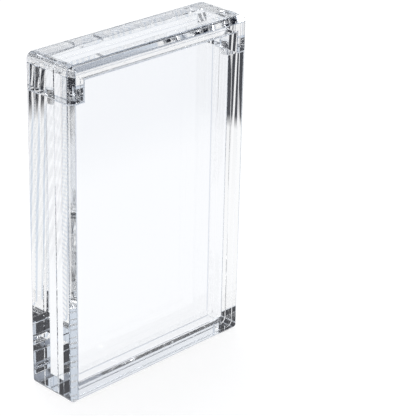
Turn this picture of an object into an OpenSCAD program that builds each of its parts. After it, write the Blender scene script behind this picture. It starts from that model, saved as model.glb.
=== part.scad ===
// Clear acrylic display case with an upright slot, and a lift-off lid held by magnets.
// The body and the lid are each a sandwich of two thick plates glued to a middle layer of strips.
// X runs across the width, -Y is the front, +Z is up, and the origin is under the middle of the base.

/* [Case] */
// Overall width
case_w = 100; // [96:0.5:120]
// Overall height with the lid on
case_h = 150; // [120:1:200]
// Polished chamfer round the front and the back face
face_chamfer = 2.4; // [1:0.1:3.5]
// Corner radius of the flat front and back face, inside the chamfer
face_corner_r = 0.6; // [0.3:0.1:4]

/* [Layers] */
// Thickness of the front plate and of the back plate
plate_t = 10; // [8:0.25:14]
// Thickness of the middle layer, which is the depth of the slot
slot_t = 8.5; // [7:0.25:12]

/* [Walls] */
// Width of the side strips beside the slot
side_wall = 7; // [6.5:0.25:12]
// Height of the strip under the slot
floor_h = 7; // [5:0.25:12]

/* [Lid] */
// Height of the lid's bar above the slot
bar_h = 6; // [4.5:0.25:9]
// Height of the lid's legs, from the top of the case
leg_h = 15.5; // [14:0.25:24]
// Free gap all along the parting between lid and body
lid_gap = 0.1; // [0.08:0.02:0.3]
// Eased edge on each side of a glued seam, where it shows
seam_ease = 0.3; // [0.1:0.05:0.5]

/* [Magnets] */
// Diameter of each disc magnet
magnet_d = 5; // [3:0.5:6]
// Height of each disc magnet
magnet_h = 3; // [1.5:0.5:5]
// Radial glue gap between a magnet and its pocket
magnet_glue = 0.05; // [0.03:0.01:0.1]
// How far a magnet's face lies below the parting
magnet_sink = 0.05; // [0.03:0.01:0.1]

/* [Hidden] */
// Sides of a full circle
$fn = 64;
// Overhang of a cutting tool past what it cuts
past = 1;
// Radius of the four outer corners, where the sides are full
corner_r = face_chamfer + face_corner_r;
// Overall thickness, from the front face to the back face
case_t = 2 * plate_t + slot_t;
// The slot's walls, floor and roof
slot_x = case_w / 2 - side_wall;
slot_top = case_h - bar_h;
// Height of the shoulders that the lid's legs stand over
shoulder_z = case_h - leg_h;
// Centre of each magnet across the width
magnet_x = case_w / 2 - side_wall / 2;

// ---------- areas, drawn as seen from the front: x across, y up ----------

module body_area() {
    // All below the shoulders, and the tongue that rises between the lid's legs
    tongue_top = slot_top - lid_gap;
    polygon([
        [-case_w, -past], [case_w, -past], [case_w, shoulder_z], [slot_x, shoulder_z],
        [slot_x, tongue_top], [-slot_x, tongue_top], [-slot_x, shoulder_z], [-case_w, shoulder_z]
    ]);
}

module lid_area() {
    // The bar and the two legs
    foot_z = shoulder_z + lid_gap;
    leg_x = slot_x + lid_gap;
    lid_top = case_h + past;
    polygon([
        [-case_w, foot_z], [-leg_x, foot_z], [-leg_x, slot_top], [leg_x, slot_top],
        [leg_x, foot_z], [case_w, foot_z], [case_w, lid_top], [-case_w, lid_top]
    ]);
}

module side_area(side, inner_x, low_z, high_z) {
    // From inner_x out past the case's side, on the left (-1) or on the right (1)
    translate([side * (inner_x + case_w / 2), (low_z + high_z) / 2])
        square([case_w, high_z - low_z], center = true);
}

module through_y() {
    // Extrudes an area through the whole case
    translate([0, case_t, 0])
        rotate([90, 0, 0])
            linear_extrude(2 * case_t) children();
}

// ---------- blanks: a layer's full rounded outline, eased at its front and its back edge ----------

module blank(front_y, back_y, front_ease, back_ease) {
    half_w = case_w / 2;
    straight_w = case_w - 2 * corner_r;
    straight_h = case_h - 2 * corner_r;
    translate([0, 0, corner_r])
        linear_extrude(straight_h)
            polygon([
                [front_ease - half_w, front_y], [half_w - front_ease, front_y],
                [half_w, front_y + front_ease], [half_w, back_y - back_ease],
                [half_w - back_ease, back_y], [back_ease - half_w, back_y],
                [-half_w, back_y - back_ease], [-half_w, front_y + front_ease]
            ]);
    translate([-straight_w / 2, 0, 0])
        rotate([90, 0, 90])
            linear_extrude(straight_w)
                polygon([
                    [front_y, front_ease], [front_y + front_ease, 0],
                    [back_y - back_ease, 0], [back_y, back_ease],
                    [back_y, case_h - back_ease], [back_y - back_ease, case_h],
                    [front_y + front_ease, case_h], [front_y, case_h - front_ease]
                ]);
    for (x = [-1, 1] * straight_w / 2, z = [corner_r, case_h - corner_r])
        translate([x, 0, z])
            rotate([-90, 0, 0])
                rotate_extrude()
                    polygon([
                        [0, front_y], [corner_r - front_ease, front_y],
                        [corner_r, front_y + front_ease], [corner_r, back_y - back_ease],
                        [corner_r - back_ease, back_y], [0, back_y]
                    ]);
}

module plate_blank() {
    // The front plate, with its chamfer in front
    blank(-case_t / 2, -slot_t / 2, face_chamfer, seam_ease);
}

module middle_blank() {
    // The middle layer
    blank(-slot_t / 2, slot_t / 2, seam_ease, seam_ease);
}

module magnet_pocket(side) {
    // Through both halves of the parting; each half keeps what lies in it
    depth = 2 * (magnet_h + magnet_sink) + lid_gap;
    translate([side * magnet_x, 0, shoulder_z + lid_gap / 2])
        cylinder(h = depth, d = magnet_d + 2 * magnet_glue, center = true);
}

// ---------- pieces ----------

clear = [0.86, 0.91, 0.95, 0.35];
nickel = [0.78, 0.78, 0.80];

module front_plate() {
    color(clear)
        intersection() {
            plate_blank();
            through_y() body_area();
        }
}

module back_plate() {
    mirror([0, 1, 0]) front_plate();
}

module spacer(side) {
    color(clear)
        difference() {
            intersection() {
                middle_blank();
                through_y() side_area(side, slot_x, -past, shoulder_z);
            }
            magnet_pocket(side);
        }
}

module spacer_left() {
    spacer(-1);
}

module spacer_right() {
    spacer(1);
}

module spacer_bottom() {
    color(clear)
        intersection() {
            middle_blank();
            through_y() translate([-slot_x, 0]) square([2 * slot_x, floor_h]);
        }
}

module lid_front_plate() {
    color(clear)
        intersection() {
            plate_blank();
            through_y() lid_area();
        }
}

module lid_back_plate() {
    mirror([0, 1, 0]) lid_front_plate();
}

module lid_spacer_top() {
    // Between the two legs' strips, over the slot
    color(clear)
        intersection() {
            middle_blank();
            through_y()
                translate([-slot_x - lid_gap, slot_top]) square([2 * (slot_x + lid_gap), bar_h]);
        }
}

module lid_spacer(side) {
    color(clear)
        difference() {
            intersection() {
                middle_blank();
                through_y() side_area(side, slot_x + lid_gap, shoulder_z + lid_gap, case_h + past);
            }
            magnet_pocket(side);
        }
}

module lid_spacer_left() {
    lid_spacer(-1);
}

module lid_spacer_right() {
    lid_spacer(1);
}

module magnet(side, bottom_z) {
    color(nickel)
        translate([side * magnet_x, 0, bottom_z]) cylinder(h = magnet_h, d = magnet_d);
}

module body_magnet_left() {
    magnet(-1, shoulder_z - magnet_sink - magnet_h);
}

module body_magnet_right() {
    magnet(1, shoulder_z - magnet_sink - magnet_h);
}

module lid_magnet_left() {
    magnet(-1, shoulder_z + lid_gap + magnet_sink);
}

module lid_magnet_right() {
    magnet(1, shoulder_z + lid_gap + magnet_sink);
}

front_plate();
back_plate();
spacer_left();
spacer_right();
spacer_bottom();
body_magnet_left();
body_magnet_right();
lid_front_plate();
lid_back_plate();
lid_spacer_top();
lid_spacer_left();
lid_spacer_right();
lid_magnet_left();
lid_magnet_right();
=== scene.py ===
# %% [markdown]
# # A clear acrylic display case
#
# The real object is a sandwich of thick, clear acrylic plates, with a lid of the same make that
# lifts off. Nothing on it is printed, painted or textured. Its look comes from three things: how
# light bends in the plates, what the polished edges mirror, and what stands round it. This lesson
# therefore spends its care on the acrylic, on the small nickel magnets and on the studio.
#
# The frame already holds the solids in their true sizes and places. It is loaded first, and nothing
# in it is moved.

# %% Load the frame
import math

import bpy
from mathutils import Matrix, Vector


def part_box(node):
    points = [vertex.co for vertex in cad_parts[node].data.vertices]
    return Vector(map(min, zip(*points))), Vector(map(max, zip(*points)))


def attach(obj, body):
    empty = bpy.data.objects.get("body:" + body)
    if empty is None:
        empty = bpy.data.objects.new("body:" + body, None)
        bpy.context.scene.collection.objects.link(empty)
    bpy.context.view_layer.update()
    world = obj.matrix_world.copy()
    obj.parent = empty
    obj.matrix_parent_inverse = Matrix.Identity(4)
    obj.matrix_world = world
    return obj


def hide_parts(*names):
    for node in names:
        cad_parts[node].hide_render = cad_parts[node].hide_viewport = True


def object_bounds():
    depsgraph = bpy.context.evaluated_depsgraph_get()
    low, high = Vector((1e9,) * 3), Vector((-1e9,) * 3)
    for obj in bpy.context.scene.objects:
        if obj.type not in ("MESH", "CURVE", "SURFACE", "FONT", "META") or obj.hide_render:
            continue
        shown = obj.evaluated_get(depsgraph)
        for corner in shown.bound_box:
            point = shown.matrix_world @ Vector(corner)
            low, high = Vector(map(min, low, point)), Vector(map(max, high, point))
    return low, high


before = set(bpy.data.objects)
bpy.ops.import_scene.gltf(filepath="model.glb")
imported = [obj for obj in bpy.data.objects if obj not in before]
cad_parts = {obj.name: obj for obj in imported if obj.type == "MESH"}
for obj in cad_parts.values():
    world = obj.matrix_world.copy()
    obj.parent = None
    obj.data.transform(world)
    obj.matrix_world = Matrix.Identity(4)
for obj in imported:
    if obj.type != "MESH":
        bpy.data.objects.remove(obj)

size_at_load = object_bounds()

# %% [markdown]
# ## The planes that matter
#
# On the real case the plates meet the middle layer on two upright planes, and the slot is a space
# between strips. The materials and the edge tools need those planes. They could be typed in as
# numbers, but here they are measured from the nodes, so that they still fit when a size of the case
# changes.

# %% Measure the case
MM = 0.001
half_w, half_t, case_h = size_at_load[1]

floor_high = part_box("spacer_bottom")[1]
wall_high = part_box("spacer_right")[1]
roof_low, roof_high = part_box("lid_spacer_top")
seam_y = wall_high[1]
slot_x, floor_z = floor_high[0], floor_high[2]
lid_slot_x, roof_z = roof_high[0], roof_low[2]
foot_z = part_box("lid_spacer_left")[0][2]
print("seams at y = ±%.2f mm, slot walls at x = ±%.2f mm" % (seam_y / MM, slot_x / MM))
print("slot from z = %.2f to %.2f mm" % (floor_z / MM, roof_z / MM))

# %% [markdown]
# The magnets lie in round pockets in the legs of the lid and in the strips below them. Their centre
# and a circle just outside their pockets are measured too, because the pockets' edges are hidden by
# the magnets and stay as they are.

# %% Measure the magnets
POCKET_MARGIN = 0.2 * MM

magnet_low, magnet_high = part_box("body_magnet_right")
magnet_x = (magnet_low[0] + magnet_high[0]) / 2
magnet_r = (magnet_high[0] - magnet_low[0]) / 2
magnet_h = magnet_high[2] - magnet_low[2]
pocket_reach = magnet_r + POCKET_MARGIN
print("magnet centres at x = ±%.2f mm" % (magnet_x / MM))

# %% [markdown]
# ## A small language for shader nodes
#
# A material is a graph of nodes, and wiring each node by hand hides what the graph works out. Here
# it is written as arithmetic instead: one class wraps a socket, and each operator adds the Math node
# that it stands for, also with the plain number on the left.

# %% Socket arithmetic
class Value:
    def __init__(self, graph, socket):
        self.graph = graph
        self.socket = socket

    def math(self, operation, *values):
        return self.graph.add("ShaderNodeMath", {"operation": operation}, [self, *values])

    def __add__(self, other):
        return self.math("ADD", other)

    def __mul__(self, other):
        return self.math("MULTIPLY", other)

    __radd__, __rmul__ = __add__, __mul__

    def __sub__(self, other):
        return self.math("SUBTRACT", other)

    def __rsub__(self, other):
        return self * -1.0 + other

    def above(self, level):
        return self.math("GREATER_THAN", level)

    def below(self, level):
        return self.math("LESS_THAN", level)

    def near(self, level, reach):
        return self.math("COMPARE", level, reach)

    def size(self):
        return self.math("ABSOLUTE")

    def either(self, other):
        return self.math("MAXIMUM", other)


print("a socket can be added, multiplied, subtracted and compared")

# %% [markdown]
# A ramp turns a number into a tone. Its stops are given as pairs of a place and a grey, and a new
# ramp has only two stops, so the missing ones are added before all of them are set.

# %% Ramp stops
def set_stops(ramp, stops):
    while len(ramp.elements) < len(stops):
        ramp.elements.new(0.5)
    for element, (place, grey) in zip(ramp.elements, stops):
        element.position = place
        element.color = (grey, grey, grey, 1.0)


print("ramp stops can be set")

# %% [markdown]
# The second class is the graph itself. Its one method for nodes takes the type, the settings and the
# values or links of the sockets. The settings come first, because some of them, such as the data
# type of a Mix node, change which sockets the node has.

# %% The graph
class Graph:
    def __init__(self, owner):
        owner.use_nodes = True
        self.nodes = owner.node_tree.nodes
        self.links = owner.node_tree.links
        self.nodes.clear()

    def add(self, kind, settings=None, inputs=None, out=0):
        node = self.nodes.new(kind)
        for name, value in (settings or {}).items():
            if name == "stops":
                set_stops(node.color_ramp, value)
            else:
                setattr(node, name, value)
        pairs = inputs.items() if isinstance(inputs, dict) else enumerate(inputs or [])
        for name, value in pairs:
            if isinstance(value, Value):
                self.links.new(value.socket, node.inputs[name])
            else:
                node.inputs[name].default_value = value
        return Value(self, node.outputs[out])

    def place(self, name="Object"):
        return self.add("ShaderNodeTexCoord", out=name)

    def xyz(self, place):
        split = self.add("ShaderNodeSeparateXYZ", None, [place])
        return [Value(self, socket) for socket in split.socket.node.outputs]

    def output(self, surface, kind="ShaderNodeOutputMaterial"):
        node = self.nodes.new(kind)
        self.links.new(surface.socket, node.inputs["Surface"])


print("shader graph ready")

# %% [markdown]
# Four helpers finish the language. A rise goes smoothly from 0 to 1 between two levels, and a blend
# mixes two colours. A colour never goes through a Math node, because that turns it grey. Noise gives
# a pattern of one size, and a bump turns such a pattern into relief.

# %% Rise, blend, noise and bump
def rise(value, low, high):
    return value.graph.add("ShaderNodeMapRange", {"interpolation_type": "SMOOTHSTEP"}, {
        "Value": value, "From Min": low, "From Max": high, "To Min": 0.0, "To Max": 1.0})


def blend(factor, first, second):
    colours = {"Factor": factor, "A": first, "B": second}
    return factor.graph.add("ShaderNodeMix", {"data_type": "RGBA"}, colours, out="Result")


def noise(place, scale, detail):
    return place.graph.add("ShaderNodeTexNoise", None, {
        "Vector": place, "Scale": scale, "Detail": detail})


def bump(height, strength, depth):
    return height.graph.add("ShaderNodeBump", None, {
        "Strength": strength, "Distance": depth, "Height": height})


print("rise, blend, noise and bump ready")

# %% [markdown]
# ## The glued seams
#
# Clear cement fills a real seam and bends light nearly as the acrylic does, so the seam can't be
# seen face on. In the model two faces lie on each other there, and each would mirror on its own. The
# pieces could be joined into one solid, but then they would no longer be pieces. So a mask finds
# what is glued, by its place, and light goes through there untouched. Where there is air, such as
# round the slot and along the parting of the lid, the faces stay glossy, and that is what draws the
# lines.

# %% Find the glued faces
SEAM_REACH = 0.02 * MM
SLOT_GROOVE = 0.2 * MM
MASK_SLACK = 0.01 * MM
glued_from = SLOT_GROOVE - MASK_SLACK


def glued_faces(x, y, z):
    side, depth = x.size(), y.size()
    beside_slot = side.above(slot_x + glued_from)
    under_slot = z.below(floor_z - glued_from)
    over_slot = z.above(roof_z + glued_from)
    off_slot = beside_slot.either(under_slot).either(over_slot)
    plate_seams = depth.near(seam_y, SEAM_REACH) * off_slot
    floor_ends = side.near(slot_x, SEAM_REACH) * under_slot
    roof_ends = side.near(lid_slot_x, SEAM_REACH) * over_slot
    return plate_seams.either(floor_ends).either(roof_ends)


print("the seam mask reaches %.2f mm to each side" % (SEAM_REACH / MM))

# %% [markdown]
# ## Clear acrylic
#
# Cast acrylic bends light with an index of 1.49 and has a trace of cool blue. Handling leaves faint
# wipe marks on its faces, and flame polishing leaves a slight waviness, so lines seen through it
# swim a little. The chamfers are cut and buffed, which leaves them a touch softer than the faces.
# Each of these could be a picture wrapped round the case, but noise on Object coordinates has no
# seams and goes through all the plates at one scale.
#
# The chamfers are found by how far they lie from the front or back face, and from a side, the top or
# the bottom. Their width is typed in, because the box of a node doesn't tell it.

# %% Find the chamfers
FACE_CHAMFER = 2.4 * MM
CHAMFER_MARGIN = 0.1 * MM
CHAMFER_HAZE = 0.05


def on_chamfer(x, y, z):
    from_face, from_side, from_top = half_t - y.size(), half_w - x.size(), case_h - z
    sloping = from_face.above(CHAMFER_MARGIN) * from_face.below(FACE_CHAMFER - CHAMFER_MARGIN)
    upright = from_side.below(FACE_CHAMFER)
    level = from_top.below(FACE_CHAMFER).either(z.below(FACE_CHAMFER))
    return sloping * upright.either(level)


print("chamfers are %.1f mm wide" % (FACE_CHAMFER / MM))

# %% [markdown]
# The marks and the waviness are kept just strong enough to break up the straight lines. The small
# rounds along the edges read as thin grey lines on the real case, because they gather light from all
# sides, the dark ones too. Their faces carry an attribute of their own, set where they are made, and
# that grey is painted on them as a darker base colour: painted shade, standing in for the dark
# surroundings that the rounds would gather. All that varies goes to the base colour, the roughness
# and the bump. The index and the clearness are the same all over and are set on their own sockets.

# %% Build the acrylic
ACRYLIC_INDEX = 1.49
WIPE_SCALE, WIPE_DETAIL = 38.0, 5.0
WIPE_STOPS = [(0.45, 0.0), (0.8, 1.0)]
WIPE_HAZE = 0.012
WAVE_SCALE, WAVE_DETAIL = 55.0, 1.0
WAVE_STRENGTH, WAVE_DEPTH = 0.01, 0.2 * MM
COOL = (0.982, 0.989, 1.0, 1.0)
COOL_PALE = (0.993, 0.996, 1.0, 1.0)
# The next colour is painted shade: a darker base colour on the small rounds, for the dark
# surroundings they would gather.
EDGE_PAINTED_SHADE = (0.52, 0.57, 0.65, 1.0)
ROUND_MARK = "edge_round"


def clear_acrylic():
    material = bpy.data.materials.new("clear_acrylic_polished")
    graph = Graph(material)
    place = graph.place()
    x, y, z = graph.xyz(place)
    wipes = noise(place, WIPE_SCALE, WIPE_DETAIL)
    marks = graph.add("ShaderNodeValToRGB", {"stops": WIPE_STOPS}, [wipes])
    waves = noise(place, WAVE_SCALE, WAVE_DETAIL)
    rounds = graph.add("ShaderNodeAttribute", {"attribute_name": ROUND_MARK}, out="Fac")
    # painted shade: the rounds get a darker base colour in place of the dark surroundings they would
    # gather
    clear = graph.add("ShaderNodeBsdfPrincipled", None, {
        "Base Color": blend(rounds, blend(wipes, COOL, COOL_PALE), EDGE_PAINTED_SHADE),
        "Roughness": marks * WIPE_HAZE + on_chamfer(x, y, z) * CHAMFER_HAZE,
        "Normal": bump(waves, WAVE_STRENGTH, WAVE_DEPTH),
        "IOR": ACRYLIC_INDEX, "Transmission Weight": 1.0})
    through = graph.add("ShaderNodeBsdfTransparent")
    graph.output(graph.add("ShaderNodeMixShader", None, [glued_faces(x, y, z), clear, through]))
    return material


acrylic = clear_acrylic()
print("made", acrylic.name)

# %% [markdown]
# ## Nickel plate
#
# The magnets are pressed discs with a bright nickel plate, which has a fine satin grain and cloudy
# tones where fingers and glue have been. Rings round the axis would suit a turned disc, but these
# aren't turned. So one fine noise gives the grain and a coarser one the clouds.

# %% Build the nickel
GRAIN_SCALE, GRAIN_DETAIL = 900.0, 3.0
GRAIN_STRENGTH, GRAIN_DEPTH = 0.15, 0.03 * MM
CLOUD_SCALE, CLOUD_DETAIL = 260.0, 2.0
GRAIN_HAZE, NICKEL_HAZE = 0.12, 0.1
NICKEL_DULL = (0.78, 0.78, 0.79, 1.0)
NICKEL_BRIGHT = (0.93, 0.92, 0.9, 1.0)


def bright_nickel():
    material = bpy.data.materials.new("bright_nickel_plate")
    graph = Graph(material)
    place = graph.place()
    grain = noise(place, GRAIN_SCALE, GRAIN_DETAIL)
    clouds = noise(place, CLOUD_SCALE, CLOUD_DETAIL)
    graph.output(graph.add("ShaderNodeBsdfPrincipled", None, {
        "Base Color": blend(clouds, NICKEL_DULL, NICKEL_BRIGHT),
        "Metallic": 1.0, "Roughness": grain * GRAIN_HAZE + NICKEL_HAZE,
        "Normal": bump(grain, GRAIN_STRENGTH, GRAIN_DEPTH)}))
    return material


nickel = bright_nickel()
print("made", nickel.name)

# %% [markdown]
# ## Eased edges
#
# A saw leaves acrylic with knife edges, so the maker scrapes and polishes them. Those small rounds
# draw the thin dark and bright lines of such a case. The solids have the wide chamfers and the eased
# seams. The finer rounds could go there too, but they are far smaller than any size that matters, so
# they are bevelled on a copy of each node.
#
# An operator acts on all that is selected, and loading leaves the nodes selected. So the first
# helper empties the selection. The others open a mesh with nothing selected, or with just the edges
# or faces that a rule picks from it.

# %% Select and edit
def deselect_all():
    if bpy.context.mode != "OBJECT":
        bpy.ops.object.mode_set(mode="OBJECT")
    bpy.ops.object.select_all(action="DESELECT")


def edit(kind):
    bpy.ops.object.mode_set(mode="EDIT")
    bpy.ops.mesh.select_mode(type=kind)
    bpy.ops.mesh.select_all(action="DESELECT")


def edit_picked(kind, piece, rule):
    edit(kind)
    bpy.ops.object.mode_set(mode="OBJECT")
    picked = list(rule(piece.data))
    for part in picked:
        part.select = True
    bpy.ops.object.mode_set(mode="EDIT")
    return len(picked)


print("edit helpers ready in", bpy.context.mode, "mode")

# %% [markdown]
# The edges could be picked by angle alone, with a Bevel modifier, but then the glued ones would be
# rounded too. So each edge that is sharp enough is looked up with its two ends, and with whether it
# lies along a seam.

# %% Find the sharp edges
EDGE_TURN = math.radians(30)
SEAM_BAND = 0.45 * MM


def normals_at_edges(mesh):
    normals = {}
    for face in mesh.polygons:
        for key in face.edge_keys:
            normals.setdefault(key, []).append(face.normal.copy())
    return normals


def ends_of(edge, mesh):
    return [mesh.vertices[i].co for i in edge.vertices]


def sharp_edges(mesh):
    normals = normals_at_edges(mesh)
    for edge in mesh.edges:
        sides = normals.get(edge.key, [])
        if len(sides) == 2 and sides[0].angle(sides[1]) >= EDGE_TURN:
            ends = ends_of(edge, mesh)
            at_seam = all(abs(abs(end.y) - seam_y) < SEAM_BAND for end in ends)
            yield edge, ends, at_seam


print("an edge counts as sharp from %.0f degrees" % math.degrees(EDGE_TURN))

# %% [markdown]
# What an edge is for depends on where it lies: at a magnet's pocket, on a plane of the slot, or on
# the underside of the lid's legs. Each place has a small test of its own, for one corner or for both
# ends of an edge.

# %% Test a place
SLOT_PLANES = (
    lambda point: abs(point.x) - slot_x,
    lambda point: point.z - floor_z,
    lambda point: point.z - roof_z,
)


def near_pocket(point):
    return math.hypot(abs(point.x) - magnet_x, point.y) < pocket_reach


def on_slot_plane(ends):
    return any(all(abs(plane(end)) < SEAM_REACH for end in ends) for plane in SLOT_PLANES)


def on_foot(point):
    return abs(point.z - foot_z) < SEAM_REACH and not near_pocket(point)


print("slot planes:", len(SLOT_PLANES))

# %% [markdown]
# With these tests, three kinds of edge are picked. Open edges, with air on both sides, get the
# common round. Edges that are glued to another piece stay sharp, because a groove there would show
# as a line inside the block. The exception is the strips' edges along the slot, which get a
# hair-fine groove, as the cement leaves it. The feet of the lid's legs are rounded first and all
# along, also where they cross a seam.

# %% Pick the edges
def open_edges(mesh):
    return [edge for edge, ends, at_seam in sharp_edges(mesh)
            if not at_seam and not any(near_pocket(end) for end in ends)]


def slot_edges(mesh):
    return [edge for edge, ends, at_seam in sharp_edges(mesh) if at_seam and on_slot_plane(ends)]


def foot_edges(mesh):
    return [edge for edge in mesh.edges if all(on_foot(end) for end in ends_of(edge, mesh))]


print("rules:", ", ".join(rule.__name__ for rule in (open_edges, slot_edges, foot_edges)))

# %% [markdown]
# One function bevels the edges that a rule picks. Three segments are enough for a round this small,
# and more would only cost render time. The new faces go to the piece's second material slot, which
# is only a note of which faces they are.

# %% Round some edges
ROUND_SEGMENTS = 3
ROUND_PROFILE = 0.5
ROUND_SLOT = 1


def round_edges(piece, rule, size):
    count = edit_picked("EDGE", piece, rule)
    bpy.ops.mesh.bevel(
        offset=size, segments=ROUND_SEGMENTS, profile=ROUND_PROFILE, clamp_overlap=True,
        material=ROUND_SLOT)
    bpy.ops.object.mode_set(mode="OBJECT")
    return count


print("bevels have", ROUND_SEGMENTS, "segments")

# %% [markdown]
# A node's mesh is loose triangles. Its copy is merged first, and the triangles of each flat face are
# joined into one, so that only real edges are left to bevel. It gets the acrylic in two slots, the
# second for the rounds.

# %% Copy and merge a node
MERGE_REACH = 0.001 * MM
FLAT_TURN = math.radians(0.5)


def merge_corners(reach):
    edit("VERT")
    bpy.ops.mesh.select_all(action="SELECT")
    bpy.ops.mesh.remove_doubles(threshold=reach)


def merged_copy(node):
    deselect_all()
    piece = bpy.data.objects.new(node + "_polished", bpy.data.objects[node].data.copy())
    bpy.context.scene.collection.objects.link(piece)
    piece.data.materials.clear()
    while len(piece.data.materials) <= ROUND_SLOT:
        piece.data.materials.append(acrylic)
    piece.select_set(True)
    bpy.context.view_layer.objects.active = piece
    merge_corners(MERGE_REACH)
    bpy.ops.mesh.dissolve_limited(angle_limit=FLAT_TURN)
    return piece


print("corners closer than %.3f mm are merged" % (MERGE_REACH / MM))

# %% [markdown]
# After the bevels, the second slot's faces are noted in an attribute, and the slot goes. Shading is
# smoothed across the rounds alone. The wide faces keep their own normals through a Weighted Normal
# modifier, because on a thick clear plate the smallest tilt of a normal bends all that is seen
# through it.

# %% Mark and shade the rounds
SMOOTH_TURN = math.radians(25)
FLAT_WEIGHT = 100


def keep_faces_flat(piece):
    bpy.ops.object.shade_smooth_by_angle(angle=SMOOTH_TURN)
    flat = piece.modifiers.new("flat_faces_first", "WEIGHTED_NORMAL")
    flat.mode, flat.weight, flat.keep_sharp = "FACE_AREA", FLAT_WEIGHT, True
    bpy.ops.object.modifier_apply(modifier=flat.name)


def mark_rounds(piece):
    marks = piece.data.attributes.new(ROUND_MARK, "FLOAT", "FACE")
    for face, mark in zip(piece.data.polygons, marks.data):
        mark.value = float(face.material_index)
        face.material_index = 0
    piece.data.materials.pop(index=ROUND_SLOT)


print("shading is smooth up to %.0f degrees" % math.degrees(SMOOTH_TURN))

# %% [markdown]
# Now the steps come together. The rounds are as wide as the eased seams beside them, since wider
# ones would run into those. Where two rounds meet, the bevels leave a few corners almost on one
# spot, so the corners are merged once more.

# %% Make an eased piece
EDGE_ROUND = 0.3 * MM
FOOT_ROUND = 0.3 * MM
CORNER_REACH = 0.02 * MM
SLOT_STRIPS = ("spacer_left", "spacer_right", "spacer_bottom", "lid_spacer_top")
FOOTED = ("lid_front_plate", "lid_back_plate", "lid_spacer_left", "lid_spacer_right")


def eased_piece(node):
    piece = merged_copy(node)
    counts = [
        round_edges(piece, foot_edges, FOOT_ROUND) if node in FOOTED else 0,
        round_edges(piece, open_edges, EDGE_ROUND),
        round_edges(piece, slot_edges, SLOT_GROOVE) if node in SLOT_STRIPS else 0,
    ]
    merge_corners(CORNER_REACH)
    bpy.ops.object.mode_set(mode="OBJECT")
    mark_rounds(piece)
    keep_faces_flat(piece)
    faces = len(piece.data.polygons)
    print(piece.name, "foot, open and slot edges:", counts, "faces:", faces)
    return piece


print("edges are rounded by %.1f mm, feet by %.1f mm" % (EDGE_ROUND / MM, FOOT_ROUND / MM))

# %% [markdown]
# ## Dress the clear pieces
#
# Each of the ten clear pieces gets its eased copy. The plates and strips of the case stay with the
# case, and those of the lid lift with the lid.

# %% Place the clear pieces
CLEAR_PIECES = {
    "front_plate": "case", "back_plate": "case",
    "spacer_left": "case", "spacer_right": "case", "spacer_bottom": "case",
    "lid_front_plate": "lid", "lid_back_plate": "lid",
    "lid_spacer_top": "lid", "lid_spacer_left": "lid", "lid_spacer_right": "lid",
}
for node, body in CLEAR_PIECES.items():
    piece = eased_piece(node)
    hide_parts(node)
    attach(piece, body)

# %% [markdown]
# ## The magnet discs
#
# A plated magnet never has a sharp rim: it is tumbled before plating, and the plate builds up round
# the edge. The press also leaves a shallow step on each flat face. A spun profile would give that
# shape with more steps. Here the two flat faces of a cylinder are inset and sunk, and then its rims
# are bevelled.

# %% Step and rim
RIM_ROUND, RIM_SEGMENTS = 0.3 * MM, 3
RIM_TURN = math.radians(60)
RIM_BORDER, STEP_SLOPE, FACE_STEP = 0.42 * MM, 0.15 * MM, 0.04 * MM
LEVEL_ENOUGH = 0.9


def flat_faces(mesh):
    return [face for face in mesh.polygons if abs(face.normal.z) > LEVEL_ENOUGH]


def sink_flat_faces(disc):
    edit_picked("FACE", disc, flat_faces)
    bpy.ops.mesh.inset(thickness=RIM_BORDER, depth=0)
    bpy.ops.mesh.inset(thickness=STEP_SLOPE, depth=-FACE_STEP)
    bpy.ops.object.mode_set(mode="OBJECT")


def bevel_rims(disc):
    rim = disc.modifiers.new("rim", "BEVEL")
    rim.width, rim.segments = RIM_ROUND, RIM_SEGMENTS
    rim.limit_method, rim.angle_limit = "ANGLE", RIM_TURN
    bpy.ops.object.modifier_apply(modifier=rim.name)


print("rims are rounded by %.1f mm, faces sunk by %.2f mm" % (RIM_ROUND / MM, FACE_STEP / MM))

# %% [markdown]
# The disc starts as a cylinder of the first node's size, at its place. The place is then moved into
# the mesh, so that the object itself sits at the origin, as every piece does here.

# %% Model a disc
DISC_SIDES = 64
DISC_SMOOTH_TURN = math.radians(35)


def centre_of(node):
    low, high = (Vector(corner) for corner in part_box(node))
    return (low + high) / 2


def magnet_disc():
    deselect_all()
    bpy.ops.mesh.primitive_cylinder_add(
        vertices=DISC_SIDES, radius=magnet_r, depth=magnet_h,
        location=centre_of("body_magnet_right"))
    disc = bpy.context.object
    disc.name = "body_magnet_right_disc"
    bpy.ops.object.transform_apply(location=True, rotation=True, scale=True)
    sink_flat_faces(disc)
    bevel_rims(disc)
    bpy.ops.object.shade_smooth_by_angle(angle=DISC_SMOOTH_TURN)
    disc.data.materials.clear()
    disc.data.materials.append(nickel)
    return disc


first_disc = magnet_disc()
print(first_disc.name, "faces:", len(first_disc.data.polygons))

# %% [markdown]
# Two magnets face up from the strips of the case and two face down from the legs of the lid. The
# pairs pull on each other across the parting, and each magnet moves with the body that holds it. The
# other three are copies of the first with their own meshes, and the place of each is moved into its
# mesh.

# %% Place the discs
MAGNETS = {
    "body_magnet_right": "case", "body_magnet_left": "case",
    "lid_magnet_left": "lid", "lid_magnet_right": "lid",
}


def disc_copy(node):
    disc = bpy.data.objects.new(node + "_disc", first_disc.data.copy())
    bpy.context.scene.collection.objects.link(disc)
    disc.data.transform(Matrix.Translation(centre_of(node) - centre_of("body_magnet_right")))
    return disc


for node, body in MAGNETS.items():
    disc = first_disc if node == "body_magnet_right" else disc_copy(node)
    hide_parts(node)
    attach(disc, body)
    print(disc.name, "rides on", body)

# %% [markdown]
# ## The studio
#
# Clear acrylic shows its surroundings more than itself. In an all-white room it nearly vanishes. A
# photographer therefore keeps the background white and stands dark cards just out of the picture,
# for the polished edges to mirror. The Light Path node does the same here: the camera, and light
# that goes straight through, see white, and only light that was mirrored on its way sees the dark
# parts. Light that was mirrored more than once has been round the edges, and may see other tones
# than light that only glanced off a wide face. The node counts the mirrors in whole numbers, so the
# levels lie halfway between them. What falls on the object itself is plain soft light.

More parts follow.
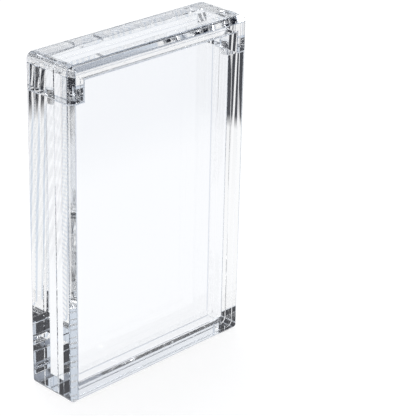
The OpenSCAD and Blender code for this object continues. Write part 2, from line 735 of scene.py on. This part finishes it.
# %% Tones and rays
WHITE = (1.0, 1.0, 1.0, 1.0)
CLEAR_WHITE = (0.995, 1.0, 1.012, 1.0)
FAINT_GREY = (0.68, 0.71, 0.77, 1.0)
PALE_BLUE = (0.7, 0.76, 0.84, 1.0)
DARK_CARD = (0.012, 0.014, 0.022, 1.0)
NO_MIRROR_YET, ONE_MIRROR = 0.5, 1.5


def background_rays(graph):
    node = graph.add("ShaderNodeLightPath").socket.node
    camera, glossy, through, mirrors = (Value(graph, node.outputs[name]) for name in (
        "Is Camera Ray", "Is Glossy Ray", "Is Transmission Ray", "Glossy Depth"))
    seen = camera.either(glossy).either(through)
    return camera, seen, mirrors.above(NO_MIRROR_YET), mirrors.above(ONE_MIRROR)


print("studio tones ready")

# %% [markdown]
# ## The floor
#
# The floor is a plain white sheet, and it keeps the soft shadow. For mirrored light it turns dark
# further out, to the left and to the front. A solid dark area would make broad black bars in the
# edges. Cut into slats, it makes the thin lines that such a case shows, because an upright edge
# draws a floor slat that points away from the camera as an upright line. The left column of the case
# mirrors often, so light that was mirrored more than once finds slats of its own in front of the
# case, pale near it and dark further out. Since the tone comes from the floor's own coordinates,
# other views get lines of their own.

# %% Slats on the floor
CARD_SLATS = {"turn": math.radians(47.3), "pitch": 2.9 * MM, "low": 0.1, "high": 0.6}
PALE_SLATS = {"turn": math.radians(40.25), "pitch": 2.7 * MM, "low": 0.2, "high": 0.7}


def slats(x, y, turn, pitch, low, high):
    across = x * math.cos(turn) + y * math.sin(turn)
    return rise((across * (2 * math.pi / pitch)).math("SINE"), low, high)


print("slats every %.1f and %.1f mm" % (CARD_SLATS["pitch"] / MM, PALE_SLATS["pitch"] / MM))

# %% [markdown]
# Two ramps say where the dark begins, one to the left and one to the front. Each gives nearly 1 near
# the case and nearly 0 further out, and the blends use it to choose the near tone or the far one.

# %% Tone of the mirrored floor
LEFT_SPAN, LEFT_STOPS = 0.25, [(0.2, 0.98), (0.5, 0.93), (0.56, 0.04), (0.8, 0.02)]
FRONT_SPAN, FRONT_STOPS = 0.5, [(0.1, 0.98), (0.35, 0.93), (0.4, 0.04), (0.8, 0.02)]


def mirrored_floor(graph, twice):
    x, y = graph.xyz(graph.place())[:2]
    left = graph.add("ShaderNodeValToRGB", {"stops": LEFT_STOPS}, [x * (-1 / LEFT_SPAN)])
    front = graph.add("ShaderNodeValToRGB", {"stops": FRONT_STOPS}, [y * (-1 / FRONT_SPAN)])
    pale = slats(x, y, **PALE_SLATS) * y.below(0.0) * twice
    far_left = blend(twice, blend(slats(x, y, **CARD_SLATS), DARK_CARD, WHITE), DARK_CARD)
    far_front = blend(twice, FAINT_GREY, blend(pale, DARK_CARD, WHITE))
    return blend(left, far_left, blend(front, far_front, blend(pale, WHITE, PALE_BLUE)))


print("ramps reach %.2f m to the left and %.2f m to the front" % (LEFT_SPAN, FRONT_SPAN))

# %% [markdown]
# The floor material mixes three shaders. White paper takes the light and the shadow. What the camera
# sees of it is mostly a plain white glow, so that it runs into the backdrop without a line. What is
# seen through the case or mirrored in it glows in the tone worked out above.

# %% Floor
FLOOR_SIDE = 6.0
FLOOR_DROP = 0.02 * MM
PAPER = (0.9, 0.9, 0.91, 1.0)
SHADOWLESS = 0.75
DIRECT_GLOW = 1.15


def studio_floor():
    deselect_all()
    bpy.ops.mesh.primitive_plane_add(size=FLOOR_SIDE, location=(0, 0, -FLOOR_DROP))
    sheet = bpy.context.object
    sheet.name = "studio_floor"
    material = bpy.data.materials.new("studio_floor_white")
    graph = Graph(material)
    camera, seen, mirrored, twice = background_rays(graph)
    tone = blend(mirrored, CLEAR_WHITE, mirrored_floor(graph, twice))
    paper = graph.add("ShaderNodeBsdfDiffuse", None, {"Color": PAPER})
    direct = graph.add("ShaderNodeEmission", None, {"Color": WHITE, "Strength": DIRECT_GLOW})
    glow = graph.add("ShaderNodeEmission", None, {"Color": tone, "Strength": 1.0})
    open_floor = graph.add("ShaderNodeMixShader", None, [SHADOWLESS, paper, direct])
    surface = graph.add("ShaderNodeMixShader", None, [camera, glow, open_floor])
    graph.output(graph.add("ShaderNodeMixShader", None, [seen, paper, surface]))
    sheet.data.materials.append(material)
    return sheet


print("laid", studio_floor().name)

# %% [markdown]
# ## The room
#
# The backdrop and the room are the world itself, which needs no walls that could get in the way of
# other views. Mirrored light finds a pale blue haze above the horizon, a grey ceiling higher up, and
# dark cards to the left and to the upper front. The camera and light that goes straight through find
# white, and what lights the object is an even, slightly cool glow.

# %% World
ROOM = (0.9, 0.93, 1.0, 1.0)
ROOM_GLOW = 0.6
LOW_HAZE = (0.88, 0.91, 0.95, 1.0)
DEEP_HAZE = (0.66, 0.72, 0.80, 1.0)
CEILING = (0.25, 0.28, 0.34, 1.0)
HAZE_FROM, CEILING_FROM = (0.05, 0.35), (0.45, 0.7)
LEFT_CARD, FRONT_CARD, CARD_FOOT = (0.1, 0.3), (-0.1, 0.25), (0.0, 0.15)


def mirrored_room(graph, twice):
    x, y, z = graph.xyz(graph.place("Generated"))
    sky = blend(rise(z, *HAZE_FROM), WHITE, blend(twice, LOW_HAZE, DEEP_HAZE))
    sky = blend(rise(z, *CEILING_FROM), sky, CEILING)
    left = rise(x * -1.0, *LEFT_CARD)
    front = rise(y * -1.0, *FRONT_CARD) * rise(z, *CARD_FOOT)
    return blend(left.either(front), sky, DARK_CARD)


def studio_room():
    world = bpy.data.worlds.new("studio_white")
    graph = Graph(world)
    camera, seen, mirrored, twice = background_rays(graph)
    tone = blend(camera, blend(mirrored, CLEAR_WHITE, mirrored_room(graph, twice)), WHITE)
    shown = graph.add("ShaderNodeBackground", None, {"Color": tone, "Strength": 1.0})
    room = graph.add("ShaderNodeBackground", None, {"Color": ROOM, "Strength": ROOM_GLOW})
    surface = graph.add("ShaderNodeMixShader", None, [seen, room, shown])
    graph.output(surface, "ShaderNodeOutputWorld")
    return world


bpy.context.scene.world = studio_room()
print("room:", bpy.context.scene.world.name)

# %% [markdown]
# ## The softbox
#
# One large round lamp high at the back right stands for a softbox. A sun would give a hard shadow,
# and the room alone would give none, so a lamp nearly as wide as it is far away is used, at low
# power. It lays the faint shadow that ties the case to the floor.

# %% Lamp
SOFTBOX_PLACE = (0.3, 0.5, 1.2)
SOFTBOX_WIDTH = 0.8
SOFTBOX_POWER = 8.0
SOFTBOX_TARGET = (0.0, 0.0, 0.07)


def softbox():
    lamp = bpy.data.lights.new("softbox_top", "AREA")
    lamp.shape, lamp.size, lamp.energy = "DISK", SOFTBOX_WIDTH, SOFTBOX_POWER
    rig = bpy.data.objects.new("softbox_top", lamp)
    bpy.context.scene.collection.objects.link(rig)
    rig.location = SOFTBOX_PLACE
    aim = Vector(SOFTBOX_TARGET) - Vector(SOFTBOX_PLACE)
    rig.rotation_euler = aim.to_track_quat("-Z", "Y").to_euler()
    return rig


print("lamp at", list(softbox().location))

# %% [markdown]
# ## The camera
#
# The camera stands to the front left and looks down on the case. Its turn, rise, roll, distance and
# lens were found by matching the case's corners. It is placed on a circle round the middle of the
# case and then panned sideways, which keeps the lens unshifted, so that other views stay in the
# frame.

# %% Camera
CAMERA_TURN = math.radians(46.044)
CAMERA_RISE = math.radians(24.537)
CAMERA_ROLL = math.radians(1.426)
CAMERA_DISTANCE = 0.734321
CAMERA_PAN = (0.029438, -0.003465)
CAMERA_LENS, CAMERA_SENSOR = 149.58, 36.0
CLIP_NEAR, CLIP_FAR = 0.01, 50.0


def camera_axes():
    back = Vector((-math.sin(CAMERA_TURN) * math.cos(CAMERA_RISE),
                   -math.cos(CAMERA_TURN) * math.cos(CAMERA_RISE), math.sin(CAMERA_RISE)))
    right = (-back).cross(Vector((0, 0, 1))).normalized()
    up = right.cross(-back)
    cos, sin = math.cos(CAMERA_ROLL), math.sin(CAMERA_ROLL)
    return cos * right + sin * up, cos * up - sin * right, back


def photo_camera():
    right, up, back = camera_axes()
    place = Vector((0, 0, case_h / 2)) + back * CAMERA_DISTANCE
    place += right * CAMERA_PAN[0] + up * CAMERA_PAN[1]
    lens = bpy.data.cameras.new("photo_camera")
    lens.sensor_width, lens.lens = CAMERA_SENSOR, CAMERA_LENS
    lens.clip_start, lens.clip_end = CLIP_NEAR, CLIP_FAR
    rig = bpy.data.objects.new("photo_camera", lens)
    bpy.context.scene.collection.objects.link(rig)
    turned = Matrix((right, up, back)).transposed().to_4x4()
    rig.matrix_world = Matrix.Translation(place) @ turned
    return rig


scene = bpy.context.scene
scene.camera = photo_camera()
print("camera at", [round(value, 3) for value in scene.camera.matrix_world.translation])

# %% [markdown]
# ## Light paths
#
# Light goes round many times in a polished block before it finds a way out. With the usual dozen
# bounces it would be cut off inside, and the chamfers would fill with black that no real case shows.
# The plain view transform keeps white white.

# %% Bounces and view
BOUNCES = 128
scene.view_settings.view_transform = "Standard"
scene.cycles.max_bounces = BOUNCES
scene.cycles.transmission_bounces = BOUNCES
scene.cycles.glossy_bounces = BOUNCES
scene.cycles.transparent_max_bounces = 2 * BOUNCES
print("light may bounce", BOUNCES, "times")
